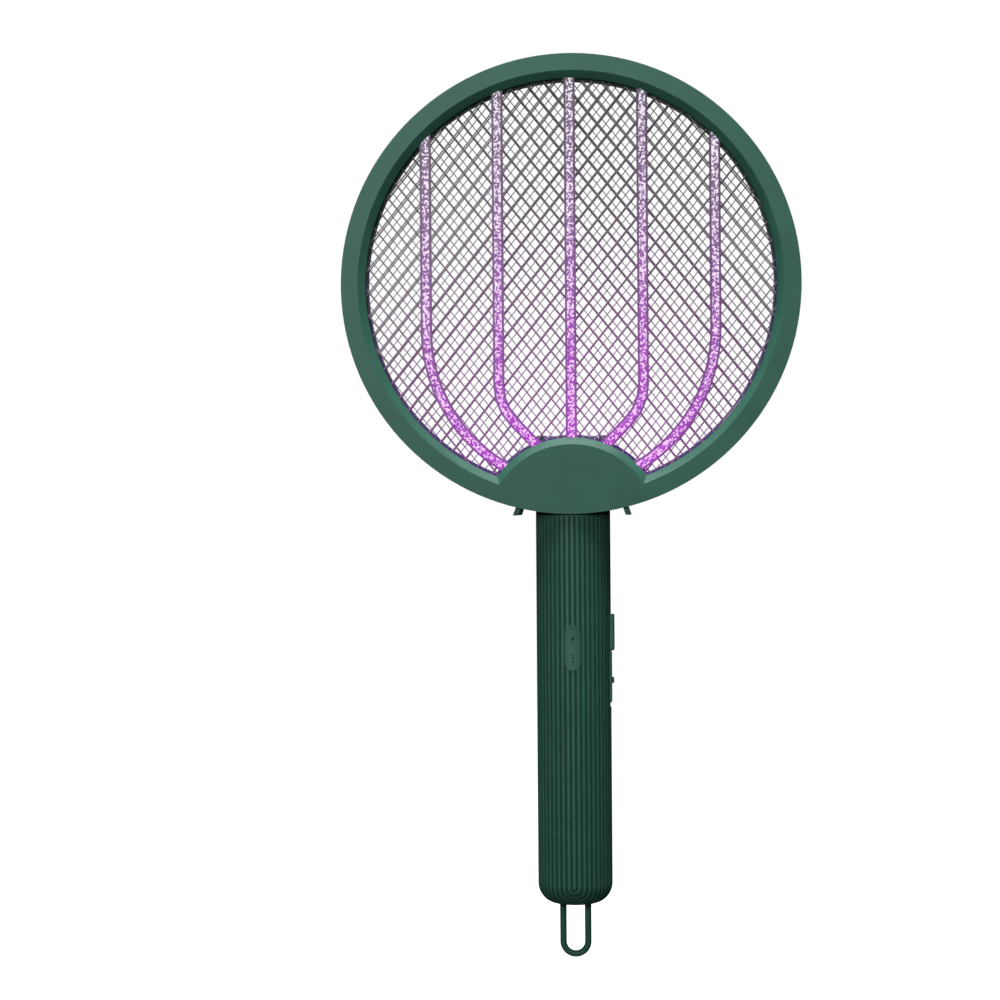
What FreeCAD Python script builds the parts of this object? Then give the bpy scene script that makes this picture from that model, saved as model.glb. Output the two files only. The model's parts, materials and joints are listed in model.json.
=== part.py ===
"""Folding, rechargeable bug zapper: a round, three-layer mesh head on a fluted handle.

Millimetres, +Z up towards the head, the front of the head faces -Y. The origin is the middle of
the grip, on the handle's axis. The head hangs on a pin behind its hub and folds back by half a turn.
"""
import FreeCAD, Part
import Sketcher
import math
import os
import re
from types import SimpleNamespace

from FreeCAD import Placement, Rotation, Vector

SIZES = {
    # handle shells
    "grip_radius": 18.0,
    "grip_length": 188.0,
    "collar_height": 0.8,
    "end_round": 10.0,
    "shell_wall": 1.8,
    "seam_gap": 0.1,
    "flute_count": 45,
    "flute_radius": 0.7,
    "flute_depth": 0.35,
    "boss_reach": 12.6,
    "boss_radius": 2.6,
    "lower_boss_drop": 60.0,
    "screw_seat": 8.1,
    # neck and hinge
    "plug_length": 10.0,
    "plug_bore_radius": 8.0,
    "tongue_half_width": 12.0,
    "shoulder_height": 6.0,
    "pin_rise": 28.5,
    "pin_back": 10.0,
    "pin_radius": 2.5,
    "knuckle_radius": 9.4,
    "cheek_width": 4.5,
    "washer_thickness": 0.6,
    "washer_radius": 6.0,
    "cap_height": 1.2,
    "cap_radius": 4.5,
    # head frames
    "head_radius": 110.0,
    "head_depth": 20.0,
    "head_forward": 10.0,
    "head_gap": 0.4,
    "frame_wall": 2.0,
    "opening_radius": 98.5,
    "bevel": 3.4,
    "bevel_depth": 3.0,
    "land_depth": 3.0,
    "seat_radius": 103.0,
    "seat_wall": 1.2,
    "hub_rise": -7.3,
    "hub_radius": 44.0,
    "hub_wall": 4.0,
    "hub_boss_spread": 12.0,
    "hub_boss_rise": 19.0,
    # mesh stack
    "guard_thickness": 1.0,
    "guard_strand": 0.95,
    "wire_thickness": 0.4,
    "wire_strand": 0.45,
    "front_spacer": 3.3,
    "rear_spacer": 3.3,
    "cell_width": 9.2,
    "cell_height": 11.46,
    "lattice_start": 4.1,
    "lattice_rise": 2.9,
    "wire_shift": 4.1,
    "rear_shift": -0.2,
    # light guides
    "rib_width": 5.3,
    "rib_depth": 2.9,
    "rib_spacing": 34.65,
    "rib_entry": 1.5,
    "outer_bend_rise": 95.5,
    "outer_bend_radius": 76.0,
    "outer_bend_angle": 59.0,
    "inner_bend_rise": 69.1,
    "inner_bend_radius": 25.0,
    "inner_bend_angle": 44.0,
    "lamp_radius": 1.7,
    "lamp_height": 1.9,
    "lamp_board_width": 5.0,
    "lamp_board_thickness": 1.0,
    # feet
    "foot_spread": 27.0,
    "foot_thickness": 2.4,
    "foot_splay": 20.0,
    "foot_drop": 0.6,
    "foot_back": 20.0,
    "foot_rise": 14.0,
    "foot_nub": 5.0,
    "foot_arch": 0.8,
    # controls
    "pill_width": 7.3,
    "pill_length": 21.3,
    "pill_rise": 30.25,
    "pill_rim": 0.8,
    "pill_proud": 0.2,
    "pill_thickness": 2.2,
    "icon_depth": 0.6,
    "bolt_width": 1.6,
    "bolt_height": 3.9,
    "bolt_rise": 4.3,
    "dot_radius": 0.4,
    "dot_pitch": 1.44,
    "dot_drop": 5.0,
    "button_length": 17.6,
    "button_width": 8.0,
    "button_rise": 37.0,
    "button_proud": 1.7,
    "button_travel": 1.2,
    "plate_length": 24.3,
    "plate_width": 9.0,
    "plate_rise": 15.35,
    "plate_proud": 0.4,
    "plate_thickness": 1.2,
    "knob_length": 2.8,
    "knob_width": 5.0,
    "knob_rise": 13.8,
    "knob_proud": 1.4,
    "knob_travel": 4.0,
    "flange": 1.0,
    "flange_thickness": 1.4,
    "edge_round": 0.9,
    "notch_length": 2.5,
    "notch_depth": 0.5,
    # electrics
    "board_width": 19.0,
    "board_length": 68.0,
    "board_thickness": 1.6,
    "board_back": 6.0,
    "board_drop": 2.0,
    "battery_radius": 9.2,
    "battery_length": 65.0,
    "battery_drop": 70.5,
    "transformer_side": 14.0,
    "capacitor_radius": 4.0,
    "capacitor_length": 15.0,
    "socket_width": 9.0,
    "socket_height": 3.2,
    "socket_rise": 22.0,
    # hanging loop
    "loop_wire": 3.2,
    "loop_half_span": 6.0,
    "loop_reach": 26.3,
    "loop_travel": 13.0,
    "loop_stop_radius": 2.4,
    "loop_stop_height": 1.5,
    # fasteners and fits
    "screw_radius": 1.1,
    "screw_head_radius": 2.0,
    "screw_head_height": 1.4,
    "screw_length": 14.0,
    "fit_gap": 0.05,
    "slide_gap": 0.3,
}

doc = FreeCAD.newDocument("BugZapper")
sheet = doc.addObject("Spreadsheet::Sheet", "Sizes")
for row, (name, number) in enumerate(SIZES.items(), 1):
    sheet.set(f"A{row}", name)
    sheet.set(f"B{row}", str(number))
    sheet.setAlias(f"B{row}", name)
doc.recompute()
s = SimpleNamespace(**{name: float(sheet.get(name)) for name in SIZES})

# places that several pieces share, as formulas on the sheet
HEAD_Y = "(0 - head_forward)"
HEAD_Z = "(grip_length / 2 + head_gap + head_radius)"
HEAD_BACK = f"({HEAD_Y} + head_depth / 2)"
HUB_Z = f"({HEAD_Z} - head_radius + hub_rise)"
PIN_Z = f"({HEAD_Z} - head_radius + pin_rise)"
COLLAR_Z = "(grip_length / 2 - collar_height)"
LAND = "(bevel_depth + land_depth)"
CHEEK_IN = "(tongue_half_width + washer_thickness + 4 * fit_gap)"
CHEEK_OUT = f"({CHEEK_IN} + cheek_width)"
FRONT_GUARD_Y = f"({HEAD_Y} - head_depth / 2 + {LAND})"
WIRE_Y = f"({FRONT_GUARD_Y} + guard_thickness + front_spacer)"
REAR_GUARD_Y = f"({WIRE_Y} + wire_thickness + rear_spacer)"
STACK_BACK_Y = f"({REAR_GUARD_Y} + guard_thickness)"
LOOP_STOP_Z = "(0 - grip_length / 2 + shell_wall + slide_gap)"

head_z = s.grip_length / 2 + s.head_gap + s.head_radius
hub_z = head_z - s.head_radius + s.hub_rise

TURNS = {
    "Z": Rotation(),
    "Y": Rotation(Vector(1, 0, 0), -90),
    "X": Rotation(Vector(0, 1, 0), 90),
    "-X": Rotation(Vector(0, 1, 0), -90),
    "-Y": Rotation(Vector(1, 0, 0), 90),
}


# ---------------------------------------------------------------- building tools

def formula(text):
    """Point every size that the text names at its cell."""
    return re.sub(r"[a-z_]+", lambda word: f"Sizes.{word[0]}" if word[0] in SIZES else word[0], text)


def bind(thing, **sizes):
    """Bind properties of thing to formulas on the sheet."""
    for prop, text in sizes.items():
        thing.setExpression(prop, formula(text))
    return thing


def place(thing, at, along="Z"):
    """Stand thing's local Z along an axis, with its origin at three formulas."""
    thing.Placement = Placement(Vector(), TURNS[along])
    for axis, text in zip("xyz", at):
        thing.setExpression(f"Placement.Base.{axis}", formula(text))
    return thing


def cylinder(name, radius, height, at, along="Z"):
    return place(bind(doc.addObject("Part::Cylinder", name), Radius=radius, Height=height), at, along)


def cone(name, first, second, height, at, along="Z"):
    thing = doc.addObject("Part::Cone", name)
    return place(bind(thing, Radius1=first, Radius2=second, Height=height), at, along)


def box(name, size, low):
    thing = doc.addObject("Part::Box", name)
    return place(bind(thing, Length=size[0], Width=size[1], Height=size[2]), low)


def centred_box(name, size, middle):
    low = [f"{centre} - ({length}) / 2" for centre, length in zip(middle, size)]
    return box(name, size, low)


def cut(name, base, *tools):
    thing = doc.addObject("Part::Cut", name)
    thing.Base = base
    thing.Tool = tools[0] if len(tools) == 1 else fuse(f"{name}_cutters", *tools)
    return thing


def fuse(name, *pieces):
    thing = doc.addObject("Part::MultiFuse", name)
    thing.Shapes = list(pieces)
    return thing


def common(name, *pieces):
    thing = doc.addObject("Part::MultiCommon", name)
    thing.Shapes = list(pieces)
    return thing


def group(name, pieces):
    """Separate solids that share one node."""
    thing = doc.addObject("Part::Compound", name)
    thing.Links = list(pieces)
    return thing


def feature(name, shape):
    thing = doc.addObject("Part::Feature", name)
    thing.Shape = shape
    return thing


def stadium(name, width, length, depth, at, along):
    """A bar with two round ends, its long side along Z and its depth along X or Y."""
    x, y, z = at
    side = [width, depth, f"{length} - ({width})"]
    corner = [f"{x} - ({width}) / 2", y, f"{z} - ({length} - ({width})) / 2"]
    if along == "X":
        side = [depth, width, side[2]]
        corner = [x, f"{y} - ({width}) / 2", corner[2]]
    ends = [
        cylinder(f"{name}_{end}", f"({width}) / 2", depth,
                 [x, y, f"{z} {sign} ({length} - ({width})) / 2"], along)
        for end, sign in (("upper", "+"), ("lower", "-"))
    ]
    return fuse(name, box(f"{name}_middle", side, corner), *ends)


def plane(body, role):
    return next(item for item in body.Origin.OriginFeatures if item.Role == role)


def sketch_on(body, role, name):
    sketch = body.newObject("Sketcher::SketchObject", name)
    sketch.AttachmentSupport = [(plane(body, role), "")]
    sketch.MapMode = "FlatFace"
    return sketch


def pin_down(sketch, index, point, x, y):
    """Hold one point of a sketch at two formulas."""
    for kind, text in (("DistanceX", x), ("DistanceY", y)):
        number = sketch.addConstraint(Sketcher.Constraint(kind, -1, 1, index, point, 1.0))
        sketch.setExpression(f"Constraints[{number}]", formula(text))


def closed_outline(sketch, corners):
    """Draw straight lines round corners that are given as pairs of formulas."""
    count = len(corners)
    turn = 2 * math.pi / count
    rough = [Vector(math.cos(turn * i), math.sin(turn * i), 0) for i in range(count)]
    for i in range(count):
        sketch.addGeometry(Part.LineSegment(rough[i], rough[(i + 1) % count]))
    for i in range(count):
        sketch.addConstraint(Sketcher.Constraint("Coincident", i, 2, (i + 1) % count, 1))
    for i, corner in enumerate(corners):
        pin_down(sketch, i, 1, *corner)


def turned(name, outline, at, along="Z"):
    """A turned piece: a closed outline of (radius, height) formulas spun about its own axis."""
    body = doc.addObject("PartDesign::Body", name)
    sketch = sketch_on(body, "XZ_Plane", f"{name}_outline")
    closed_outline(sketch, outline)
    spin = body.newObject("PartDesign::Revolution", f"{name}_spin")
    spin.Profile = sketch
    spin.ReferenceAxis = (sketch, ["V_Axis"])
    spin.Angle = 360
    return place(body, at, along)


def screw(name, at, along):
    """A pan-head screw, its head at the origin of its axis and its tip along it."""
    outline = [("0", "0"), ("screw_head_radius", "0"), ("screw_head_radius", "screw_head_height"),
               ("screw_radius", "screw_head_height"), ("screw_radius", "screw_length"), ("0", "screw_length")]
    return turned(name, outline, at, along)


def soft_pad(name, role, width, height, length, rounding, at):
    """A rectangular pad on one of its body's planes, every edge but those on that plane rounded."""
    body = doc.addObject("PartDesign::Body", name)
    sketch = sketch_on(body, role, f"{name}_outline")
    signs = [(-1, -1), (1, -1), (1, 1), (-1, 1)]
    closed_outline(sketch, [(f"{across} * ({width}) / 2", f"{up} * ({height}) / 2") for across, up in signs])
    pad = body.newObject("PartDesign::Pad", f"{name}_pad")
    pad.Profile = sketch
    bind(pad, Length=length)
    doc.recompute()
    flat = plane(body, role).Placement.Rotation.multVec(Vector(0, 0, 1))
    edges = [
        f"Edge{i}" for i, edge in enumerate(pad.Shape.Edges, 1)
        if max(abs(vertex.Point.dot(flat)) for vertex in edge.Vertexes) > 1e-6
    ]
    soft = body.newObject("PartDesign::Fillet", f"{name}_soft")
    soft.Base = (pad, edges)
    bind(soft, Radius=rounding)
    return place(body, at)


# ---------------------------------------------------------------- handle shells

def round_ended_bar(name, radius, length, rounding, low):
    """A round bar on the Z axis with its lower edge rounded."""
    body = doc.addObject("PartDesign::Body", name)
    sketch = sketch_on(body, "XY_Plane", f"{name}_section")
    circle = sketch.addGeometry(Part.Circle(Vector(), Vector(0, 0, 1), 1))
    sketch.addConstraint(Sketcher.Constraint("Coincident", circle, 3, -1, 1))
    number = sketch.addConstraint(Sketcher.Constraint("Radius", circle, 1))
    sketch.setExpression(f"Constraints[{number}]", formula(radius))
    bar = body.newObject("PartDesign::Pad", f"{name}_bar")
    bar.Profile = sketch
    bind(bar, Length=length)
    doc.recompute()
    lower = next(f"Edge{i}" for i, edge in enumerate(bar.Shape.Edges, 1) if edge.BoundBox.ZMax < 1e-6)
    end = body.newObject("PartDesign::Fillet", f"{name}_end")
    end.Base = (bar, [lower])
    bind(end, Radius=rounding)
    return place(body, ["0", "0", low])


def fluted_bar():
    """The grip's outer form, with round-bottomed flutes that stop where its end curves in."""
    body = round_ended_bar("grip_form", "grip_radius", COLLAR_Z + " + grip_length / 2", "end_round",
                           "0 - grip_length / 2")
    sketch = sketch_on(body, "XY_Plane", "flute_section")
    sketch.setExpression("AttachmentOffset.Base.z", formula("end_round"))
    circle = sketch.addGeometry(Part.Circle(Vector(0, 1, 0), Vector(0, 0, 1), 1))
    pin_down(sketch, circle, 3, "0", "grip_radius + flute_radius - flute_depth")
    number = sketch.addConstraint(Sketcher.Constraint("Radius", circle, 1))
    sketch.setExpression(f"Constraints[{number}]", formula("flute_radius"))
    flute = body.newObject("PartDesign::Pocket", "flute")
    flute.Profile = sketch
    flute.Reversed = True
    bind(flute, Length="grip_length")
    flutes = body.newObject("PartDesign::PolarPattern", "flutes")
    flutes.Originals = [flute]
    flutes.Axis = (sketch, ["N_Axis"])
    flutes.Angle = 360
    bind(flutes, Occurrences="flute_count")
    body.Tip = flutes
    return body


BOSS_PLACES = [
    (f"{side} * boss_reach", height)
    for side in (-1, 1)
    for height in (f"{COLLAR_Z} - plug_length / 2", "0 - lower_boss_drop")
]
KNOB_SLOT = ["knob_width + 2 * slide_gap", "knob_length + 2 * knob_travel + 2 * slide_gap"]


def smooth_patches():
    """Where the flutes stop: round the indicator panel, and under the side controls."""
    plain = cylinder("grip_plain", "grip_radius", "grip_length - collar_height - end_round",
                     ["0", "0", "end_round - grip_length / 2"])
    rim = stadium("panel_land", "pill_width + 2 * pill_rim", "pill_length + 2 * pill_rim", "grip_radius",
                  ["0", "0 - grip_radius", "pill_rise"], "Y")
    top = "button_rise + button_length / 2 + flange"
    bottom = "plate_rise - plate_length / 2 - notch_length - flange"
    side = box("control_land", ["grip_radius", "plate_width + flange", f"({top}) - ({bottom})"],
               ["grip_radius / 2", "0 - (plate_width + flange) / 2", bottom])
    return common("grip_patches", plain, fuse("grip_lands", rim, side))


def shell_openings():
    """Windows for the controls, the charging socket, the loop's legs and the screws."""
    out = "grip_radius"
    pieces = [
        stadium("panel_window", "pill_width + 2 * fit_gap", "pill_length + 2 * fit_gap", out,
                ["0", "0 - 1.5 * grip_radius", "pill_rise"], "Y"),
        box("button_window", [out, "button_width + 2 * slide_gap", "button_length + 2 * slide_gap"],
            ["grip_radius / 2", "0 - button_width / 2 - slide_gap",
             "button_rise - button_length / 2 - slide_gap"]),
        box("plate_seat", [out, "plate_width + 2 * fit_gap", "plate_length + 2 * fit_gap"],
            ["grip_radius + plate_proud - plate_thickness - fit_gap", "0 - plate_width / 2 - fit_gap",
             "plate_rise - plate_length / 2 - fit_gap"]),
        box("knob_window", [out, *KNOB_SLOT],
            ["grip_radius / 2", f"0 - ({KNOB_SLOT[0]}) / 2", f"knob_rise - ({KNOB_SLOT[1]}) / 2"]),
        box("plate_notch", [out, "plate_width", "notch_length + flange"],
            ["grip_radius - notch_depth", "0 - plate_width / 2",
             "plate_rise - plate_length / 2 - notch_length"]),
        stadium("socket_window", "socket_height + 2 * slide_gap", "socket_width + 2 * slide_gap", out,
                ["0", "grip_radius / 2", "socket_rise"], "Y"),
    ]
    for side in (-1, 1):
        pieces.append(cylinder(f"leg_hole_{side + 1}", "loop_wire / 2 + slide_gap", "end_round",
                               [f"{side} * loop_half_span", "0", "0 - grip_length / 2 - shell_wall"]))
    for number, (x, z) in enumerate(BOSS_PLACES):
        pieces.append(cylinder(f"handle_screw_hole_{number}", "screw_radius + fit_gap", "screw_length",
                               [x, "screw_seat - 2 * fit_gap - screw_length + screw_head_height", z], "Y"))
        pieces.append(cylinder(f"handle_screw_recess_{number}", "screw_head_radius + slide_gap", out,
                               [x, "screw_seat", z], "Y"))
    return pieces


def handle_shells():
    outside = fuse("grip_outside", fluted_bar(), smooth_patches())
    cavity = round_ended_bar("grip_cavity", "grip_radius - shell_wall", "grip_length",
                             "end_round - shell_wall", "shell_wall - grip_length / 2")
    bosses = [
        cylinder(f"handle_boss_{number}", "boss_radius", "2 * grip_radius", [x, "0 - grip_radius", z], "Y")
        for number, (x, z) in enumerate(BOSS_PLACES)
    ]
    hollow = cut("grip_hollow", cavity, *bosses)
    walls = cut("grip_walls", outside, hollow, *shell_openings())
    size = ["2 * grip_radius", "grip_radius", "grip_length"]
    front = box("front_half", size,
                ["0 - grip_radius", "0 - grip_radius - seam_gap / 2", "0 - grip_length / 2"])
    rear = box("rear_half", size, ["0 - grip_radius", "seam_gap / 2", "0 - grip_length / 2"])
    return [common("handle_front_shell", walls, front), common("handle_rear_shell", walls, rear)]


# ---------------------------------------------------------------- neck, hinge

def neck_block():
    """Collar, shoulder and plug that close the handle's top, and the tongue and knuckle of the hinge."""
    plug_low = f"{COLLAR_Z} - plug_length"
    tongue_front = "pin_back - knuckle_radius"
    tongue = common(
        "tongue",
        box("tongue_bar", ["2 * tongue_half_width", f"grip_radius - ({tongue_front})", f"{PIN_Z} - {COLLAR_Z}"],
            ["0 - tongue_half_width", tongue_front, COLLAR_Z]),
        cylinder("tongue_round", "grip_radius", "head_radius", ["0", "0", COLLAR_Z]),
    )
    shoulder = common(
        "shoulder",
        cylinder("shoulder_round", "grip_radius", "shoulder_height", ["0", "0", COLLAR_Z]),
        box("shoulder_behind_ring", ["2 * grip_radius", "grip_radius", "shoulder_height"],
            ["0 - grip_radius", f"{HEAD_BACK} + head_gap", COLLAR_Z]),
    )
    solid = fuse(
        "neck_solid",
        shoulder,
        cylinder("collar", "grip_radius", "collar_height", ["0", "0", COLLAR_Z]),
        cylinder("plug", "grip_radius - shell_wall - 2 * fit_gap", "plug_length", ["0", "0", plug_low]),
        tongue,
        cylinder("knuckle", "knuckle_radius", "2 * tongue_half_width",
                 ["0 - tongue_half_width", "pin_back", PIN_Z], "X"),
    )
    holes = [
        cylinder(f"boss_passage_{side + 1}", "boss_radius + fit_gap", "2 * grip_radius",
                 [f"{side} * boss_reach", "0 - grip_radius", f"{COLLAR_Z} - plug_length / 2"], "Y")
        for side in (-1, 1)
    ]
    bore = cylinder("knuckle_bore", "pin_radius + fit_gap", "3 * tongue_half_width",
                    ["0 - 1.5 * tongue_half_width", "pin_back", PIN_Z], "X")
    wires = cylinder("plug_bore", "plug_bore_radius", "plug_length", ["0", "0", plug_low])
    return cut("neck_block", solid, bore, wires, *holes)


def hinge_pieces():
    """Pin through the cheeks and the knuckle, a friction washer each side, and a cap on each end."""
    at = ["pin_back", PIN_Z]
    pin = cylinder("hinge_pin", "pin_radius", f"2 * {CHEEK_OUT}", [f"0 - {CHEEK_OUT}", *at], "X")
    pieces = [pin]
    for side, sign, along in (("right", "", "X"), ("left", "0 - ", "-X")):
        ring = [("pin_radius + fit_gap", "0"), ("washer_radius", "0"), ("washer_radius", "washer_thickness"),
                ("pin_radius + fit_gap", "washer_thickness")]
        start = f"{sign}(tongue_half_width + 2 * fit_gap)"
        pieces.append(turned(f"{side}_hinge_washer", ring, [start, *at], along))
        dome = [("0", "0"), ("cap_radius", "0"), ("cap_radius", "cap_height / 2"),
                ("cap_radius - cap_height / 2", "cap_height"), ("0", "cap_height")]
        pieces.append(turned(f"{side}_hinge_cap", dome, [f"{sign}({CHEEK_OUT} + fit_gap)", *at], along))
    return pieces


# ---------------------------------------------------------------- controls

def indicator_panel():
    """A pill-shaped window with a raised rim, a bolt sign and three charge dots, and its lamps."""
    front = "0 - grip_radius - pill_proud"
    low = "0 - grip_length / 2"
    bar = stadium("panel_bar", "pill_width", "pill_length", "pill_thickness", ["0", front, "pill_rise"], "Y")
    curve = cylinder("panel_curve", "grip_radius + pill_proud", "grip_length", ["0", "0", low])
    middle = stadium("panel_middle", "pill_width - 2 * pill_rim", "pill_length - 2 * pill_rim",
                     "pill_thickness", ["0", front, "pill_rise"], "Y")
    floor = cylinder("panel_floor", "grip_radius - fit_gap", "grip_length", ["0", "0", low])
    signs = [bolt_window(), charge_dots()]
    blank = common("panel_blank", bar, curve)
    panel = cut("indicator_panel", blank, cut("panel_pocket", middle, floor), *signs)
    back = "pill_thickness - grip_radius - pill_proud"
    lamps = group("indicator_lamps", [
        cylinder(f"indicator_lamp_{number}", "pill_width / 6", "lamp_height / 2",
                 ["0", f"{back} + fit_gap", f"pill_rise + {offset}"], "Y")
        for number, offset in enumerate(("bolt_rise", "(0 - dot_drop)"))
    ])
    board = box("indicator_board", ["pill_width - 2 * pill_rim", "lamp_board_thickness", "pill_length"],
                ["pill_rim - pill_width / 2", f"{back} + 2 * fit_gap + lamp_height / 2",
                 "pill_rise - pill_length / 2"])
    return [panel, *signs, lamps, board]


def bolt_window():
    """The lightning-bolt sign: two slanted strokes, as a clear insert."""
    half = [(0.3, 1), (-0.5, -0.1), (-0.05, -0.1), (-0.3, -1), (0.5, 0.15), (0.05, 0.15), (0.3, 1)]
    points = [Vector(x * s.bolt_width, 0, z * s.bolt_height / 2) for x, z in half]
    bolt = feature("bolt_window", Part.Face(Part.makePolygon(points)).extrude(Vector(0, s.icon_depth, 0)))
    return place(bolt, ["0", "0 - grip_radius + fit_gap", "pill_rise + bolt_rise"])


def charge_dots():
    return group("charge_dots", [
        cylinder(f"charge_dot_{number}", "dot_radius", "icon_depth",
                 ["0", "0 - grip_radius + fit_gap", f"pill_rise - dot_drop + {number - 1} * dot_pitch"], "Y")
        for number in range(3)
    ])


def zap_button():
    """The long side button, kept in by a flange behind the wall."""
    inner = "grip_radius - shell_wall - flange_thickness - flange"
    cap = soft_pad("button_cap", "YZ_Plane", "button_width", "button_length",
                   f"grip_radius + button_proud - ({inner})", "edge_round", [inner, "0", "button_rise"])
    flange = centred_box("button_flange",
                         ["flange_thickness", "button_width + 2 * flange", "button_length + 2 * flange"],
                         [f"{inner} + flange_thickness / 2", "0", "button_rise"])
    return fuse("zap_button", cap, flange)


def mode_knob():
    """The little slide knob on its carrier, which runs behind the wall."""
    inner = "grip_radius - shell_wall - flange_thickness - flange / 2"
    cap = soft_pad("knob_cap", "YZ_Plane", "knob_width", "knob_length",
                   f"grip_radius + knob_proud - ({inner})", "edge_round / 2", [inner, "0", "knob_rise"])
    carrier = centred_box("knob_carrier",
                          ["flange", "knob_width + 2 * flange", "knob_length + 2 * knob_travel"],
                          [f"{inner} + flange / 2", "0", "knob_rise"])
    return fuse("mode_knob", cap, carrier)


def side_plate():
    inner = "grip_radius + plate_proud - plate_thickness"
    blank = soft_pad("plate_blank", "YZ_Plane", "plate_width", "plate_length", "plate_thickness",
                     "plate_proud", [inner, "0", "plate_rise"])
    slot = centred_box("plate_slot", ["4 * plate_thickness", *KNOB_SLOT], [inner, "0", "knob_rise"])
    return cut("side_switch_plate", blank, slot)


def switches():
    """The press switch behind the button and the slide switch behind the knob, both on the board's edge."""
    depth = "board_width / 2 - flange"
    tact_face = "grip_radius - shell_wall - flange_thickness - flange - button_travel"
    tact = fuse(
        "tact_switch",
        box("tact_body",
            [f"{tact_face} - flange - slide_gap - ({depth})", "board_back + knob_width / 2", "button_width"],
            [depth, "0 - knob_width / 2", "button_rise - button_width / 2"]),
        cylinder("tact_stem", "knob_width / 3", "2 * flange",
                 [f"{tact_face} - slide_gap - 2 * flange", "0", "button_rise"], "X"),
    )
    slide_face = "grip_radius - shell_wall - flange_thickness - flange / 2 - slide_gap"
    length = "knob_length + 2 * knob_travel + 4 * flange"
    slide = box("slide_switch", [f"{slide_face} - ({depth})", "board_back + knob_width / 2", length],
                [depth, "0 - knob_width / 2", f"knob_rise - ({length}) / 2"])
    return [tact, slide]


# ---------------------------------------------------------------- electrics

def electrics():
    board_low = "0 - board_drop"
    board = box("control_board", ["board_width", "board_thickness", "board_length"],
                ["0 - board_width / 2", "board_back", board_low])
    core_z = "board_length - board_drop - transformer_side"
    core = box("transformer_core", ["transformer_side"] * 3,
               ["0 - transformer_side / 2", "board_back - transformer_side", core_z])
    coil = cylinder("transformer_coil", "transformer_side / 3", "transformer_side + 2 * flange",
                    ["0 - transformer_side / 2 - flange", "board_back - transformer_side / 2",
                     f"{core_z} + transformer_side / 2"], "X")
    capacitor = cylinder("storage_capacitor", "capacitor_radius", "capacitor_length",
                         ["0 - board_width / 2 + capacitor_radius", "board_back - capacitor_radius - fit_gap",
                          "flange"])
    shell = stadium("socket_shell", "socket_height", "socket_width",
                    "grip_radius - shell_wall / 2 - board_back - board_thickness",
                    ["0", "board_back + board_thickness", "socket_rise"], "Y")
    mouth = stadium("socket_mouth", "socket_height - 2 * slide_gap", "socket_width - 2 * slide_gap",
                    "board_back", ["0", "grip_radius - board_back - shell_wall / 2", "socket_rise"], "Y")
    tip = centred_box("socket_tip", ["slide_gap * 2", "board_back", "socket_width - 8 * slide_gap"],
                      ["0", "grip_radius - board_back / 2 - 2 * shell_wall", "socket_rise"])
    socket = fuse("usb_socket", cut("socket_can", shell, mouth), tip)
    outline = [("0", "0"), ("battery_radius", "0"), ("battery_radius", "battery_length - flange"),
               ("battery_radius / 3", "battery_length - flange"), ("battery_radius / 3", "battery_length"),
               ("0", "battery_length")]
    battery = turned("battery_cell", outline, ["0", "0", "0 - battery_drop"])
    contacts = [
        centred_box(name, ["battery_radius", "battery_radius", "flange / 2"], ["0", "0", z])
        for name, z in (("lower_battery_contact", "0 - battery_drop - flange / 4 - fit_gap"),
                        ("upper_battery_contact", "battery_length - battery_drop + flange / 4 + fit_gap"))
    ]
    return [board, fuse("step_up_transformer", core, coil), capacitor, socket, battery, *contacts]


# ---------------------------------------------------------------- hanging loop

def hanging_loop():
    """A bent rod with a stop on each leg, and the guide inside the grip that the stops run in."""
    bend = "0 - grip_length / 2 - loop_reach + loop_wire / 2 + loop_half_span"
    rod = "loop_wire / 2"
    arc = doc.addObject("Part::Torus", "loop_bend")
    bind(arc, Radius1="loop_half_span", Radius2=rod)
    arc.Angle3 = 180
    place(arc, ["0", "0", bend], "Y")
    pieces = [arc]
    stops = []
    for side in (-1, 1):
        x = f"{side} * loop_half_span"
        pieces.append(cylinder(f"loop_leg_{side + 1}", rod, f"{LOOP_STOP_Z} - ({bend})", [x, "0", bend]))
        pieces.append(cylinder(f"loop_stop_{side + 1}", "loop_stop_radius", "loop_stop_height",
                               [x, "0", LOOP_STOP_Z]))
        stops.append(cylinder(f"guide_bore_{side + 1}", "loop_stop_radius + slide_gap", "2 * end_round",
                              [x, "0", LOOP_STOP_Z]))
    low = "shell_wall * 2 - grip_length / 2 + flange / 2"
    block = box("guide_block", ["2 * (loop_half_span + loop_stop_radius + flange)",
                                "2 * (loop_stop_radius + flange) + flange", "loop_travel + loop_stop_height"],
                ["0 - (loop_half_span + loop_stop_radius + flange)",
                 "0 - (loop_stop_radius + 1.5 * flange)", low])
    return [fuse("hanging_loop", *pieces), cut("loop_guide", block, *stops)]


def handle_screws():
    return group("handle_screws", [
        screw(f"handle_screw_{number}", [x, "screw_seat + screw_head_height", z], "-Y")
        for number, (x, z) in enumerate(BOSS_PLACES)
    ])


# ---------------------------------------------------------------- head frames

def disc(name, radius, depth, y, z=HEAD_Z):
    return cylinder(name, radius, depth, ["0", y, z], "Y")


def opening(name, radius, hub, depth, y):
    """A round space with the hub's disc taken out of it."""
    return cut(name, disc(f"{name}_round", radius, depth, y), disc(f"{name}_hub", hub, depth, y, HUB_Z))


def bevel(name, y, flare):
    """The slanted edge round the opening: flare is front or rear, the side it opens to."""
    radii = [("opening_radius + bevel", "opening_radius"), ("hub_radius - bevel", "hub_radius")]
    if flare == "rear":
        radii = [pair[::-1] for pair in radii]
    ring = cone(f"{name}_ring", *radii[0], "bevel_depth", ["0", y, HEAD_Z], "Y")
    hub = cone(f"{name}_hub", *radii[1], "bevel_depth", ["0", y, HUB_Z], "Y")
    return cut(name, ring, hub)


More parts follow.
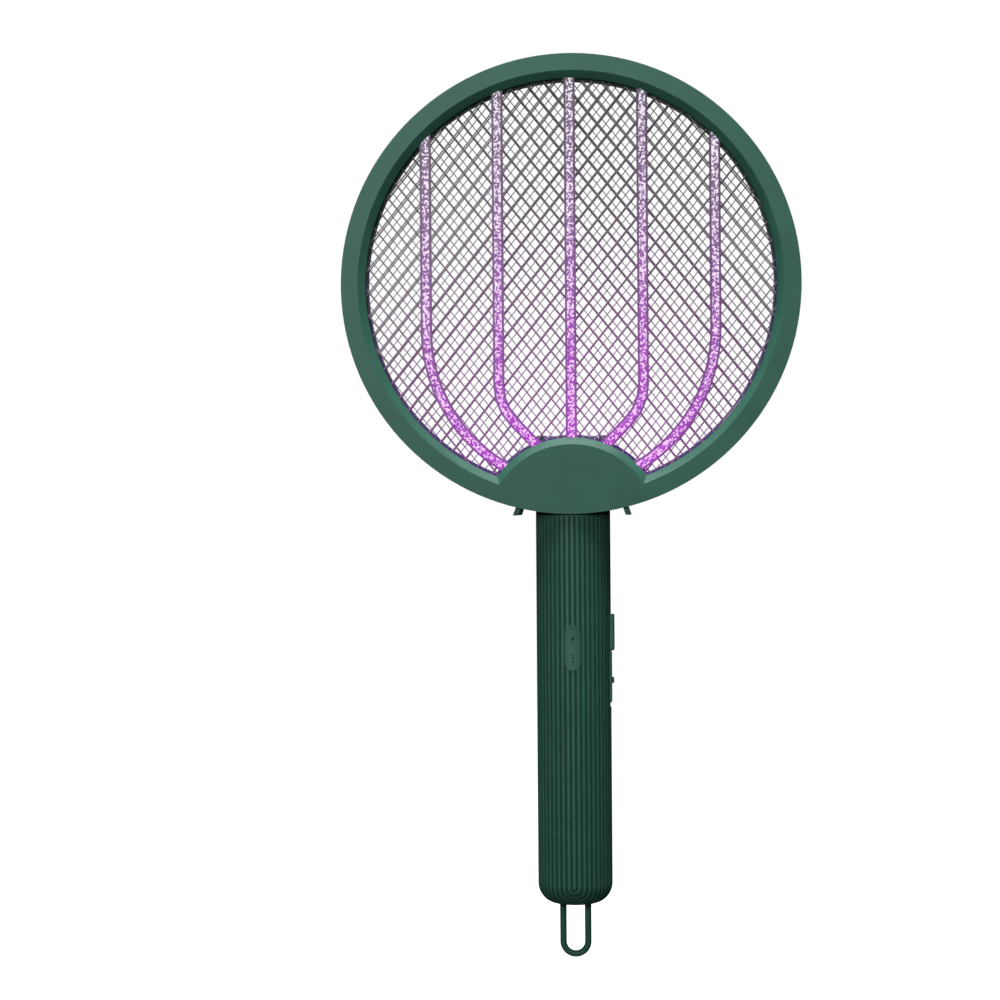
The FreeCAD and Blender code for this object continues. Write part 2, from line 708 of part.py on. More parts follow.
def channel(name, depth, y):
    """The hollow of the ring and of the hub."""
    ring = cut(f"{name}_ring", disc(f"{name}_out", "head_radius - frame_wall", depth, y),
               disc(f"{name}_in", "seat_radius + seat_wall", depth, y))
    hub = common(f"{name}_hub", disc(f"{name}_hub_round", "hub_radius - hub_wall - seat_wall", depth, y, HUB_Z),
                 disc(f"{name}_hub_limit", "head_radius - frame_wall", depth, y))
    return fuse(name, ring, hub)


RING_BOSS = "(seat_radius + seat_wall + head_radius - frame_wall) / 2"
HEAD_SCREW_PLACES = [
    (f"{RING_BOSS} * cos({angle})", f"{HEAD_Z} + {RING_BOSS} * sin({angle})")
    for angle in (30, 90, 150, 210, 330)
] + [(f"{side} * hub_boss_spread", f"{HUB_Z} + hub_boss_rise") for side in (-1, 1)]
HEAD_FRONT = f"({HEAD_Y} - head_depth / 2)"
HEAD_SCREW_Y = f"{HEAD_BACK} - frame_wall"


def head_frames():
    depth = "head_depth / 2"
    hollow = "head_depth / 2 - frame_wall"
    seat_hub = "hub_radius - hub_wall"
    seat_depth = f"{HEAD_Y} - {FRONT_GUARD_Y}"
    front_boss, rear_boss, hole, recess = [], [], [], []
    for number, (x, z) in enumerate(HEAD_SCREW_PLACES):
        front_boss.append(cylinder(f"front_boss_{number}", "boss_radius", hollow,
                                   [x, f"{HEAD_FRONT} + frame_wall", z], "Y"))
        rear_boss.append(cylinder(f"rear_boss_{number}", "boss_radius", hollow, [x, HEAD_Y, z], "Y"))
        hole.append(cylinder(f"head_screw_hole_{number}", "screw_radius + fit_gap", "screw_length",
                             [x, f"{HEAD_SCREW_Y} - screw_length - fit_gap", z], "Y"))
        recess.append(cylinder(f"head_screw_recess_{number}", "screw_head_radius + slide_gap", "head_depth",
                               [x, f"{HEAD_SCREW_Y} - screw_head_height", z], "Y"))
    rib_limit = disc("rib_pocket_limit", "opening_radius + rib_entry + fit_gap", "head_depth", HEAD_FRONT)
    rib_ends = common("rib_pockets", group("rib_pocket_bars", rib_bars("pocket", s.fit_gap)), rib_limit)
    front = cut("front_frame_hollow", disc("front_frame_blank", "head_radius", depth, HEAD_FRONT),
                opening("front_opening", "opening_radius", "hub_radius", depth, HEAD_FRONT),
                bevel("front_bevel", HEAD_FRONT, "front"),
                opening("front_seat", "seat_radius", seat_hub, seat_depth, FRONT_GUARD_Y),
                channel("front_channel", hollow, f"{HEAD_FRONT} + frame_wall"))
    front = cut("head_front_frame", fuse("front_frame_bosses", front, *front_boss), *hole, rib_ends)
    rear = cut("rear_frame_hollow", disc("rear_frame_blank", "head_radius", depth, HEAD_Y),
               opening("rear_opening", "opening_radius", "hub_radius", depth, HEAD_Y),
               bevel("rear_bevel", f"{HEAD_BACK} - bevel_depth", "rear"),
               opening("rear_seat", "seat_radius", seat_hub, f"{STACK_BACK_Y} - {HEAD_Y}", HEAD_Y),
               channel("rear_channel", hollow, HEAD_Y))
    bore = cylinder("cheek_bore", "pin_radius + fit_gap", f"4 * {CHEEK_OUT}",
                    [f"0 - 2 * {CHEEK_OUT}", "pin_back", PIN_Z], "X")
    rear = cut("head_rear_frame", fuse("rear_frame_bosses", rear, *rear_boss, *cheeks()),
               *[doc.getObject(piece.Name) for piece in hole], *recess, bore)
    return [front, rear]


def cheeks():
    """Two rounded ears on the rear frame, one each side of the knuckle."""
    pieces = []
    for side, x in (("right", CHEEK_IN), ("left", f"0 - {CHEEK_OUT}")):
        pieces.append(cylinder(f"{side}_cheek", "knuckle_radius", "cheek_width", [x, "pin_back", PIN_Z], "X"))
        pieces.append(box(f"{side}_cheek_root", ["cheek_width", "pin_back - (" + HEAD_BACK + ") + frame_wall",
                                                 "2 * knuckle_radius"],
                          [x, f"{HEAD_BACK} - frame_wall", f"{PIN_Z} - knuckle_radius"]))
    return pieces


# ---------------------------------------------------------------- mesh layers

def flat_face(radius, z):
    ring = Part.Circle(Vector(0, 0, z), Vector(0, 1, 0), radius)
    return Part.Face(Part.Wire([ring.toShape()]))


def lattice(name, y, thickness, strand, shift):
    """A sheet of diamond mesh with a solid rim that is clamped between the frames."""
    rim = flat_face(s.seat_radius - s.fit_gap, head_z).cut(
        flat_face(s.hub_radius - s.hub_wall + s.fit_gap, hub_z))
    inside = flat_face(s.opening_radius, head_z).cut(flat_face(s.hub_radius, hub_z))
    half_width, half_height = s.cell_width / 2, s.cell_height / 2
    reach = half_width * half_height / math.hypot(half_width, half_height)
    shrink = 1 - strand / 2 / reach
    corners = [(half_width, 0), (0, half_height), (-half_width, 0), (0, -half_height), (half_width, 0)]
    columns = int(s.opening_radius / half_width) + 2
    rows = int(s.opening_radius / half_height) + 2
    holes = []
    for column in range(-columns, columns + 1):
        for line in range(-rows, rows + 1):
            if (column + line) % 2:
                continue
            middle = Vector(s.lattice_start + shift + column * half_width - s.cell_width, 0,
                            head_z + s.lattice_rise + line * half_height)
            cell = Part.makePolygon([middle + Vector(x * shrink, 0, z * shrink) for x, z in corners])
            from_centre = math.hypot(middle.x, middle.z - head_z)
            from_hub = math.hypot(middle.x, middle.z - hub_z)
            if from_centre > s.opening_radius + half_height or from_hub < s.hub_radius - half_height:
                continue
            if from_centre < s.opening_radius - half_height and from_hub > s.hub_radius + half_height:
                holes.append(cell)
                continue
            holes += [face.OuterWire for face in Part.Face(cell).common(inside).Faces if face.Area > strand]
    sheet_face = Part.Face([rim.Faces[0].OuterWire, *holes])
    return place(feature(name, sheet_face.extrude(Vector(0, thickness, 0))), ["0", y, "0"])


def mesh_stack():
    def spacer(name, depth, y):
        rim = opening(f"{name}_rim", "seat_radius - fit_gap", "hub_radius - hub_wall + fit_gap", depth, y)
        return cut(name, rim, opening(f"{name}_space", "opening_radius", "hub_radius", depth, y))

    return [
        lattice("front_guard_mesh", FRONT_GUARD_Y, s.guard_thickness, s.guard_strand, 0),
        spacer("front_spacer_ring", "front_spacer", f"{FRONT_GUARD_Y} + guard_thickness"),
        lattice("high_voltage_mesh", WIRE_Y, s.wire_thickness, s.wire_strand, s.wire_shift),
        spacer("rear_spacer_ring", "rear_spacer", f"{WIRE_Y} + wire_thickness"),
        lattice("rear_guard_mesh", REAR_GUARD_Y, s.guard_thickness, s.guard_strand, s.rear_shift),
    ]


# ---------------------------------------------------------------- light guides

def rib_bar(name, side, rise, bend_radius, angle, grow):
    """A flat bar that runs straight down, bends towards the hub and runs straight on into it."""
    x = abs(side) * s.rib_spacing
    sign = math.copysign(1, side)
    start = hub_z + rise
    turn = math.radians(angle)
    half = s.rib_width / 2 + grow
    centre = x - bend_radius

    def at(radius, tilt):
        return Vector(sign * (centre + radius * math.cos(tilt)), 0, start - radius * math.sin(tilt))

    def edge(radius):
        down = Vector(-sign * math.sin(turn), 0, -math.cos(turn)) * s.hub_radius
        top = Vector(sign * (centre + radius), 0, head_z + s.head_radius)
        end = at(radius, turn)
        return top, at(radius, 0), at(radius, turn / 2), end, end + down

    outer, inner = edge(bend_radius + half), edge(bend_radius - half)
    segments = [
        Part.LineSegment(outer[0], outer[1]), Part.Arc(outer[1], outer[2], outer[3]),
        Part.LineSegment(outer[3], outer[4]), Part.LineSegment(outer[4], inner[4]),
        Part.LineSegment(inner[4], inner[3]), Part.Arc(inner[3], inner[2], inner[1]),
        Part.LineSegment(inner[1], inner[0]), Part.LineSegment(inner[0], outer[0]),
    ]
    face = Part.Face(Part.Wire([segment.toShape() for segment in segments]))
    return feature(name, face.extrude(Vector(0, s.rib_depth + 2 * grow, 0)))


def rib_bars(kind, grow):
    """Five bars, from left to right; the middle one is straight."""
    y = f"{FRONT_GUARD_Y} - rib_depth - fit_gap - {grow}"
    bars = []
    for number, side in enumerate((-2, -1, 0, 1, 2), 1):
        name = f"{kind}_bar_{number}"
        if side == 0:
            bar = box(name,
                      [f"rib_width + 2 * {grow}", f"rib_depth + 2 * {grow}", "head_radius * 2 - hub_rise"],
                      [f"0 - rib_width / 2 - {grow}", y, HUB_Z])
        else:
            bend = (s.outer_bend_rise, s.outer_bend_radius, s.outer_bend_angle)
            if abs(side) == 1:
                bend = (s.inner_bend_rise, s.inner_bend_radius, s.inner_bend_angle)
            bar = place(rib_bar(name, side, *bend, grow), ["0", y, "0"])
        bars.append(bar)
    return bars


def light_guides():
    limit = disc("rib_limit", "opening_radius + rib_entry", "head_depth", HEAD_FRONT)
    hub = disc("rib_hub_limit", "hub_radius - hub_wall - seat_wall + slide_gap", "head_depth",
               HEAD_FRONT, HUB_Z)
    return [
        cut(f"light_guide_rib_{number}", common(f"rib_{number}_trimmed", bar, limit), hub)
        for number, bar in enumerate(rib_bars("rib", 0), 1)
    ]


def lamps():
    """The curved lamp board inside the hub, and a lamp at the end of each light guide."""
    out = "hub_radius - hub_wall - seat_wall - flange"
    y = f"{FRONT_GUARD_Y} + flange"
    ring = cut("lamp_ring", disc("lamp_ring_out", out, "lamp_board_thickness", y, HUB_Z),
               disc("lamp_ring_in", f"{out} - lamp_board_width", "lamp_board_thickness", y, HUB_Z))
    upper = box("lamp_board_limit", ["2 * hub_radius", "head_depth", "hub_radius"],
                ["0 - hub_radius", HEAD_FRONT, f"{HUB_Z} + hub_boss_rise"])
    middle = f"({out} - lamp_board_width / 2)"
    leds = [
        cylinder(f"uv_led_{angle}", "lamp_radius", "lamp_height",
                 [f"{middle} * cos({angle})", f"{y} - lamp_height", f"{HUB_Z} + {middle} * sin({angle})"], "Y")
        for angle in (45, 70, 90, 110, 135)
    ]
    return [common("uv_lamp_board", ring, upper), group("uv_leds", leds)]


# ---------------------------------------------------------------- feet and head screws

def foot(name, sign):
    """A splayed blade under the ring with a nub at each end, which reaches back past the folded handle."""
    floor = f"{HEAD_Z} - head_radius - foot_drop"
    body = doc.addObject("PartDesign::Body", f"{name}_blade")
    sketch = sketch_on(body, "YZ_Plane", f"{name}_outline")
    front, back = f"{HEAD_FRONT} + frame_wall", "foot_back"
    outline = [(front, "0 - flange"), (f"{front} + foot_nub", "0 - flange"),
               (f"{front} + foot_nub + flange", "foot_arch"), (f"{back} - foot_nub - flange", "foot_arch"),
               (f"{back} - foot_nub", "0 - flange"), (back, "0 - flange"), (back, "foot_nub / 2"),
               (f"{HEAD_BACK} + foot_nub", "foot_rise"), (front, "foot_rise")]
    closed_outline(sketch, outline)
    pad = body.newObject("PartDesign::Pad", f"{name}_pad")
    pad.Profile = sketch
    pad.Midplane = True
    bind(pad, Length="foot_thickness")
    place(body, [f"{sign} * foot_spread", "0", floor])
    body.Placement = Placement(Vector(), Rotation(Vector(0, 1, 0), -sign * s.foot_splay))
    body.setExpression("Placement.Rotation.Angle", formula(f"{-sign} * foot_splay"))
    ground = box(f"{name}_ground", ["head_radius", "4 * head_depth", "2 * foot_rise"],
                 [f"{sign} * foot_spread - head_radius / 2", "0 - 2 * head_depth", floor])
    ring = disc(f"{name}_ring", "head_radius + fit_gap", "head_depth + 2 * fit_gap", f"{HEAD_FRONT} - fit_gap")
    return cut(name, common(f"{name}_trimmed", body, ground), ring)


def head_screws():
    return group("head_screws", [
        screw(f"head_screw_{number}", [x, HEAD_SCREW_Y, z], "-Y")
        for number, (x, z) in enumerate(HEAD_SCREW_PLACES)
    ])


# ---------------------------------------------------------------- the whole part

nodes = [
    *handle_shells(), neck_block(), *indicator_panel(), zap_button(), mode_knob(), side_plate(), *switches(),
    *electrics(), *hanging_loop(), handle_screws(),
    *head_frames(), *mesh_stack(), *light_guides(), *lamps(), foot("left_foot", -1), foot("right_foot", 1),
    head_screws(), *hinge_pieces(),
]
doc.recompute()

for item in doc.Objects:
    if "Invalid" in item.State or "Error" in item.State:
        raise RuntimeError(f"{item.Label} did not recompute")

os.makedirs("parts", exist_ok=True)
for node in nodes:
    if node.Shape.isNull() or not node.Shape.isValid() or not node.Shape.Solids:
        raise RuntimeError(f"{node.Label} is not a valid solid")
    node.Shape.exportStep(f"parts/{node.Label}.step")
    print(f"{node.Label}: {len(node.Shape.Solids)} solid(s), {node.Shape.Volume:.1f} mm3")
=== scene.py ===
"""The looks of a folding electric bug zapper, built round its fixed frame. Lengths are in metres."""

import json
import math

import bmesh
import bpy
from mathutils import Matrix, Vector


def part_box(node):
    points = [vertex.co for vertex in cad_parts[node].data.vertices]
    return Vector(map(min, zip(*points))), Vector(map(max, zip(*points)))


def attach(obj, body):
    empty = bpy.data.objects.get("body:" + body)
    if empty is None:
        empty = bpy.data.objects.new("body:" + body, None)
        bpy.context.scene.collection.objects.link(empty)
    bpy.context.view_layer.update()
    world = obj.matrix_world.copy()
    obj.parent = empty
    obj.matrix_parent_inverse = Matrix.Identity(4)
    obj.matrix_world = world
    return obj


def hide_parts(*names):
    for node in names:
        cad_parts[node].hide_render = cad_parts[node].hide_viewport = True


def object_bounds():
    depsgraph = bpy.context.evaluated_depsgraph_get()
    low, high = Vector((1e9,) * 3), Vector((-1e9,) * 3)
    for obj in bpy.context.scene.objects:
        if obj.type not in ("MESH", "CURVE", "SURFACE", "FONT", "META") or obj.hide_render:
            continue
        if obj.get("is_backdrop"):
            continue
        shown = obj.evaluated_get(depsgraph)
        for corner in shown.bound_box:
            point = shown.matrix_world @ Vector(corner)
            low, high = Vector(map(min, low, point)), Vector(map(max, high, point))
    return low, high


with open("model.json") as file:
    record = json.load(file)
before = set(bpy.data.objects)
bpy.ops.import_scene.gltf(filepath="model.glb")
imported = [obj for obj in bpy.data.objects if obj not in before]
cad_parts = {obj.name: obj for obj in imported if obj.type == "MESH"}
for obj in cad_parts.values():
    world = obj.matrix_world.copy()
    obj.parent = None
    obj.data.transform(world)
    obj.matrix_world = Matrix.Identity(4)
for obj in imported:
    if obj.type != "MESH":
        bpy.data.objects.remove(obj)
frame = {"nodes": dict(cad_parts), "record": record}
cad_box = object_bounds()

MM = 0.001

# ---------------------------------------------------------------- driving sizes

nodes = frame["nodes"]
front_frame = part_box("head_front_frame")
guard_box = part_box("front_guard_mesh")
wire_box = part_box("high_voltage_mesh")
rear_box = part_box("rear_guard_mesh")
grip_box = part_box("handle_front_shell")
middle_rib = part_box("light_guide_rib_3")

ring_radius = front_frame[1].x
head_z = front_frame[1].z - ring_radius
grip_radius = grip_box[1].x
grip_low = grip_box[0].z

OPENING_RADIUS = 98.5 * MM
HUB_RADIUS = 44.0 * MM
HUB_DROP = 7.3 * MM
EDGE_ROUND = 1.0 * MM
hub_z = head_z - ring_radius - HUB_DROP

# the grip's rounded end and its flutes, then how the grooves round the end are drawn
END_ROUND = 10.0 * MM
FLUTE_COUNT = 45
FLUTE_RADIUS = 0.7 * MM
FLUTE_DEPTH = 0.35 * MM
FLUTE_MIDDLE = 0.9 * MM
FLUTE_PITCH = math.tau * grip_radius / FLUTE_COUNT
GROOVE_STEPS = 72
GROOVE_START = -0.1 * MM
GROOVE_LEAST = 0.05 * MM
POLE_GAP = 0.5 * MM

# the diamond mesh: its cell, and where its lattice starts from the ring's middle
CELL_WIDTH = 9.2 * MM
CELL_HEIGHT = 11.46 * MM
CELL_ACROSS = 4.1 * MM
CELL_UP = 2.9 * MM
GUARD_STRAND = 0.7 * MM
LIVE_STRAND = 0.5 * MM
LIVE_SHIFT = 4.1 * MM
REAR_SHIFT = -0.2 * MM
RING_SEAT = 1.5 * MM
HUB_SEAT = 2.5 * MM
LAST_ROD = 61
LIP_RADIUS = 0.75 * MM
LIP_SEAT = 0.9
LIP_STEPS = 160
LIP_HUB_STEPS = 40

# the light guides; a bend is its start's height over the hub's middle, its radius and its angle
RIB_WIDTH = 5.3 * MM
RIB_SPACING = 34.65 * MM
RIB_STEP = 5.5 * MM
RIB_SPARE = 6 * MM
RIB_ENTRY = 1.4 * MM
RIB_HUB_END = 39.2 * MM
RIB_OVERRUN = 2 * MM
RIB_TAIL_STEPS = 6
RIB_RAIL = 1.0 * MM
RIB_FACET = 0.7 * MM
OUTER_BEND = (95.5 * MM, 76.0 * MM, math.radians(59))
INNER_BEND = (69.1 * MM, 25.0 * MM, math.radians(44))

# how far the hub end of each bar leans from upright, in degrees, from the middle bar outwards
HUB_LEAN = (0, 20, 45)

# the lamps' light, painted on the wires as a violet glow: where it starts and how far it reaches along
# the wires, and how far it reaches along the light guides
GLOW_START = 20 * MM
GLOW_REACH = 200 * MM
GUIDE_REACH = 250 * MM

CLOUD_SIZE = 14 * MM
FINE_GRAIN = 0.25 * MM
TEXTURE_DEPTH = 0.03 * MM


# ---------------------------------------------------------------- camera

def aim_camera():
    """A long lens, level with the neck and a little to the right of straight on."""
    distance = 1.265
    height = 0.1013
    aside = 0.0345
    azimuth = math.radians(3.4)
    roll = math.radians(-0.4)
    right = Vector((math.cos(azimuth), math.sin(azimuth), 0))
    back = Vector((math.sin(azimuth), -math.cos(azimuth), 0))
    target = Vector((0, guard_box[0].y, height)) - right * aside
    lens = bpy.data.cameras.new("camera")
    lens.lens = 95
    lens.sensor_width = 36
    camera = bpy.data.objects.new("camera", lens)
    bpy.context.scene.collection.objects.link(camera)
    camera.location = target + back * distance
    turn = (-back).to_track_quat("-Z", "Y").to_euler()
    turn.rotate_axis("Z", roll)
    camera.rotation_euler = turn
    bpy.context.scene.camera = camera


aim_camera()
bpy.context.scene.view_settings.view_transform = "Standard"


# ---------------------------------------------------------------- shader maths

class Socket:
    """A number in a material. Python's operators on it add Math nodes."""

    def __init__(self, tree, output):
        self.tree = tree
        self.output = output

    def math(self, operation, first, second):
        node = self.tree.nodes.new("ShaderNodeMath")
        node.operation = operation
        for slot, value in zip(node.inputs, (first, second)):
            if isinstance(value, Socket):
                self.tree.links.new(value.output, slot)
            else:
                slot.default_value = value
        return Socket(self.tree, node.outputs[0])

    def __add__(self, other):
        return self.math("ADD", self, other)

    def __radd__(self, other):
        return self.math("ADD", other, self)

    def __sub__(self, other):
        return self.math("SUBTRACT", self, other)

    def __rsub__(self, other):
        return self.math("SUBTRACT", other, self)

    def __mul__(self, other):
        return self.math("MULTIPLY", self, other)

    def __rmul__(self, other):
        return self.math("MULTIPLY", other, self)

    def __truediv__(self, other):
        return self.math("DIVIDE", self, other)

    def __pow__(self, other):
        return self.math("POWER", self, other)


class Finish:
    """One procedural material."""

    def __init__(self, name):
        self.material = bpy.data.materials.new(name)
        self.material.use_nodes = True
        self.tree = self.material.node_tree
        self.tree.nodes.clear()

    def add(self, kind, settings, inputs, output=0):
        """A node of that type: its settings first, then its sockets' values or links."""
        node = self.tree.nodes.new("ShaderNode" + kind)
        for name, value in settings.items():
            if name == "stops":
                self.set_stops(node.color_ramp, value)
            else:
                setattr(node, name, value)
        for name, value in inputs.items():
            if isinstance(value, Socket):
                self.tree.links.new(value.output, node.inputs[name])
            else:
                node.inputs[name].default_value = value
        return Socket(self.tree, node.outputs[output])

    def set_stops(self, ramp, stops):
        while len(ramp.elements) < len(stops):
            ramp.elements.new(0.5)
        for element, (position, colour) in zip(ramp.elements, stops):
            element.position = position
            element.color = (*colour, 1)

    def place(self):
        return self.add("TexCoord", {}, {}, "Object")

    def noise(self, grain, detail=2.0):
        """Noise with features about `grain` across."""
        return self.add("TexNoise", {}, {"Vector": self.place(), "Scale": 1 / grain, "Detail": detail})

    def ramp(self, amount, stops):
        return self.add("ValToRGB", {"stops": stops}, {"Fac": amount})

    def bump(self, height, depth):
        return self.add("Bump", {}, {"Height": height, "Distance": depth, "Strength": 1.0})

    def coordinate(self, axis):
        return self.add("SeparateXYZ", {}, {"Vector": self.place()}, axis)

    def distance_to(self, point):
        return self.add("VectorMath", {"operation": "DISTANCE"}, {0: self.place(), 1: point}, "Value")

    def fade(self, amount, start, end):
        """One where amount is at start, falling smoothly to nothing at end."""
        limits = {"Value": amount, "From Min": start, "From Max": end, "To Min": 1.0, "To Max": 0.0}
        return self.add("MapRange", {"interpolation_type": "SMOOTHSTEP"}, limits)

    def surface(self, **inputs):
        sockets = {name.replace("_", " "): value for name, value in inputs.items()}
        shader = self.add("BsdfPrincipled", {}, sockets)
        self.add_output(shader)
        return self.material

    def add_output(self, shader):
        node = self.tree.nodes.new("ShaderNodeOutputMaterial")
        self.tree.links.new(shader.output, node.inputs["Surface"])


def linear(level):
    """A display level, 0 to 255, as linear light."""
    share = level / 255
    if level > 10:
        return ((share + 0.055) / 1.055) ** 2.4
    return share / 12.92


def colour(red, green, blue):
    """A display colour as the renderer's linear light."""
    return tuple(linear(level) for level in (red, green, blue))


def opaque(shade):
    return (*shade, 1.0)


# ---------------------------------------------------------------- finishes

lamps = Vector((0, guard_box[0].y, hub_z))


def moulded_plastic(name, dark, light, grain, roughness):
    """Satin plastic with a fine spark-eroded texture and slight clouding."""
    finish = Finish(name)
    cloud = finish.noise(CLOUD_SIZE, 3)
    texture = finish.noise(grain, 3)
    tint = finish.ramp(cloud * 0.7 + texture * 0.3, [(0.3, dark), (0.7, light)])
    return finish.surface(
        Base_Color=tint,
        Roughness=roughness - 0.05 + cloud * 0.1,
        Normal=finish.bump(texture, TEXTURE_DEPTH),
        Specular_IOR_Level=0.22)


def fluted_plastic(name, first, facing):
    """The shell's plastic, painted darker in the flutes as shade; the flutes run round the grip's end in
    nested curves.
    """
    finish = Finish(name)
    side = finish.coordinate("X")
    front = finish.coordinate("Y") * facing
    below = grip_low + END_ROUND - finish.coordinate("Z")
    reach = (side * side + front * front) ** 0.5
    across = side.math("ARCTAN2", side, front) * reach
    bend = below.math("ARCSINE", below.math("MINIMUM", below / END_ROUND, 1.0), 0.0)
    down = bend.math("MAXIMUM", bend * END_ROUND - FLUTE_MIDDLE, 0.0)
    count = (across * across + down * down) ** 0.5 / FLUTE_PITCH - first
    wave = count.math("COSINE", count * math.tau, 0.0)
    # painted shade: the grooves' colour is darker, standing in for the shade that falls in them
    groove = finish.fade(wave, 0.7, -0.4)
    cloud = finish.noise(CLOUD_SIZE, 3)
    texture = finish.noise(FINE_GRAIN, 3)
    ridge = finish.ramp(cloud, [(0.3, colour(50, 98, 81)), (0.7, colour(57, 107, 91))])
    painted_groove_shade = opaque(colour(26, 66, 51))
    tint = finish.add("Mix", {"data_type": "RGBA"}, {0: groove, 6: ridge, 7: painted_groove_shade}, 2)
    return finish.surface(
        Base_Color=tint,
        Roughness=0.41 + cloud * 0.1,
        Normal=finish.bump(texture, TEXTURE_DEPTH),
        Specular_IOR_Level=0.2)


def lit_wire(name, bare, glow, strength, roughness):
    """Plated wire with the lamps' violet light painted on as a glow near the hub."""
    finish = Finish(name)
    scuff = finish.noise(1.5 * MM, 3)
    tint = finish.ramp(scuff, [(0.25, bare[0]), (0.75, bare[1])])
    # painted light: the lamps' violet glow, painted as emission colour that fades with distance from the
    # hub
    painted_glow_near_lamps = finish.fade(finish.distance_to(lamps), GLOW_START, GLOW_REACH)
    light = finish.add("Mix", {"data_type": "RGBA"}, {0: painted_glow_near_lamps, 6: opaque((0, 0, 0)), 7: opaque(glow)}, 2)
    return finish.surface(
        Base_Color=tint,
        Metallic=0.35,
        Roughness=roughness + scuff * 0.15,
        Emission_Color=light,
        Emission_Strength=strength,
        Normal=finish.bump(scuff, 0.02 * MM))


def light_guide_face():
    """Clear acrylic prisms: violet light from the hub, with bright glints painted on as spots."""
    finish = Finish("light_guide_prisms")
    away = finish.distance_to(lamps)
    glow = finish.ramp(away / GUIDE_REACH, [
        (0.15, colour(192, 28, 226)), (0.38, colour(172, 60, 200)),
        (0.62, colour(148, 106, 164)), (0.9, colour(124, 114, 130))])
    # painted glints: near-white spots of emission colour, scattered by noise, stand in for the prisms'
    # sparkle
    painted_glint_colours = finish.ramp(away / GUIDE_REACH, [
        (0.15, colour(255, 190, 255)), (0.5, colour(250, 220, 254)), (0.9, colour(246, 244, 248))])
    speck = finish.noise(1.1 * MM, 1)
    painted_glint_mask = finish.fade(speck, 0.56, 0.48)
    light = finish.add("Mix", {"data_type": "RGBA"}, {0: painted_glint_mask, 6: glow, 7: painted_glint_colours}, 2)
    return finish.surface(
        Base_Color=finish.ramp(speck, [(0.3, colour(70, 60, 76)), (0.7, colour(110, 100, 116))]),
        Roughness=0.2 + speck * 0.1,
        Alpha=0.6 + painted_glint_mask * 0.3,
        Emission_Color=light,
        Emission_Strength=0.95,
        Specular_IOR_Level=0.3,
        Normal=finish.bump(speck, 0.05 * MM))


def light_guide_rail():
    """The clear bar's sides, with painted shade: they are coloured dark because they bend the light
    away.
    """
    finish = Finish("light_guide_rails")
    away = finish.distance_to(lamps)
    speck = finish.noise(0.9 * MM, 2)
    light = finish.ramp(away / GUIDE_REACH, [
        (0.15, colour(150, 12, 176)), (0.4, colour(124, 26, 140)),
        (0.65, colour(78, 42, 86)), (0.9, colour(40, 34, 44))])
    # painted shade: the dark base colour stands in for the light the sides bend away
    return finish.surface(
        Base_Color=finish.ramp(speck, [(0.3, colour(60, 52, 66)), (0.7, colour(96, 88, 102))]),
        Roughness=0.3 + speck * 0.1,
        Alpha=0.82 + speck * 0.18,
        Emission_Color=light,
        Emission_Strength=0.7,
        Specular_IOR_Level=0.25)


def lit_plastic():
    """Milky spacer plastic, with the lamps' violet light painted on as a glow that fades upwards from
    the hub.
    """
    finish = Finish("spacer_plastic")
    height = finish.coordinate("Z")
    patch = finish.noise(9 * MM, 2)
    # painted light: a violet glow in the emission colour, fading with height above the hub
    painted_glow_near_lamps = finish.fade(height + patch * 0.05, hub_z, head_z + 0.06)
    light = finish.add("Mix", {"data_type": "RGBA"}, {
        0: painted_glow_near_lamps, 6: opaque(colour(8, 20, 16)), 7: opaque(colour(96, 30, 140))}, 2)
    return finish.surface(
        Base_Color=finish.ramp(patch, [(0.3, colour(24, 40, 36)), (0.7, colour(40, 54, 52))]),
        Roughness=0.3 + patch * 0.1,
        Emission_Color=light,
        Emission_Strength=0.7)


def smoked_lens():
    finish = Finish("smoked_lens")
    dust = finish.noise(0.6 * MM, 4)
    return finish.surface(
        Base_Color=finish.ramp(dust, [(0.3, colour(6, 16, 14)), (0.8, colour(16, 30, 26))]),
        Roughness=0.12 + dust * 0.12,
        Coat_Weight=0.5,
        Normal=finish.bump(dust, 0.01 * MM))


def solder_mask():
    finish = Finish("solder_mask")
    track = finish.add("TexBrick", {"offset": 0.5}, {
        "Vector": finish.place(), "Scale": 300.0, "Mortar Size": 0.06,
        "Color1": opaque(colour(10, 92, 52)), "Color2": opaque(colour(14, 104, 60)),
        "Mortar": opaque(colour(44, 132, 84))})
    return finish.surface(Base_Color=track, Roughness=0.3 + finish.noise(1 * MM) * 0.1)


def plated_metal(name, dark, light, roughness):
    finish = Finish(name)
    scuff = finish.noise(0.7 * MM, 4)
    return finish.surface(
        Base_Color=finish.ramp(scuff, [(0.2, dark), (0.8, light)]),
        Metallic=1.0,
        Roughness=roughness + scuff * 0.15,
        Normal=finish.bump(scuff, 0.01 * MM))


def shrink_sleeve(name, body, band):
    """A plain shrink sleeve with a band of another tone round it."""
    finish = Finish(name)
    height = finish.coordinate("Z")
    wave = finish.noise(3 * MM, 2)
    stripe = finish.add("Math", {"operation": "PINGPONG"}, {0: height, 1: 0.03})
    mask = finish.fade(stripe, 0.0035, 0.0045)
    tint = finish.add("Mix", {"data_type": "RGBA"}, {0: mask, 6: opaque(body), 7: opaque(band)}, 2)
    return finish.surface(
        Base_Color=tint,
        Roughness=0.22 + wave * 0.12,
        Coat_Weight=0.4,
        Normal=finish.bump(wave, 0.04 * MM))


def lamp_lens():
    finish = Finish("lamp_lens")
    haze = finish.noise(1 * MM, 2)
    return finish.surface(
        Base_Color=finish.ramp(haze, [(0.3, colour(200, 170, 230)), (0.7, colour(235, 215, 250))]),
        Roughness=0.15 + haze * 0.1,
        Emission_Color=opaque(colour(190, 80, 255)),
        Emission_Strength=1.5)


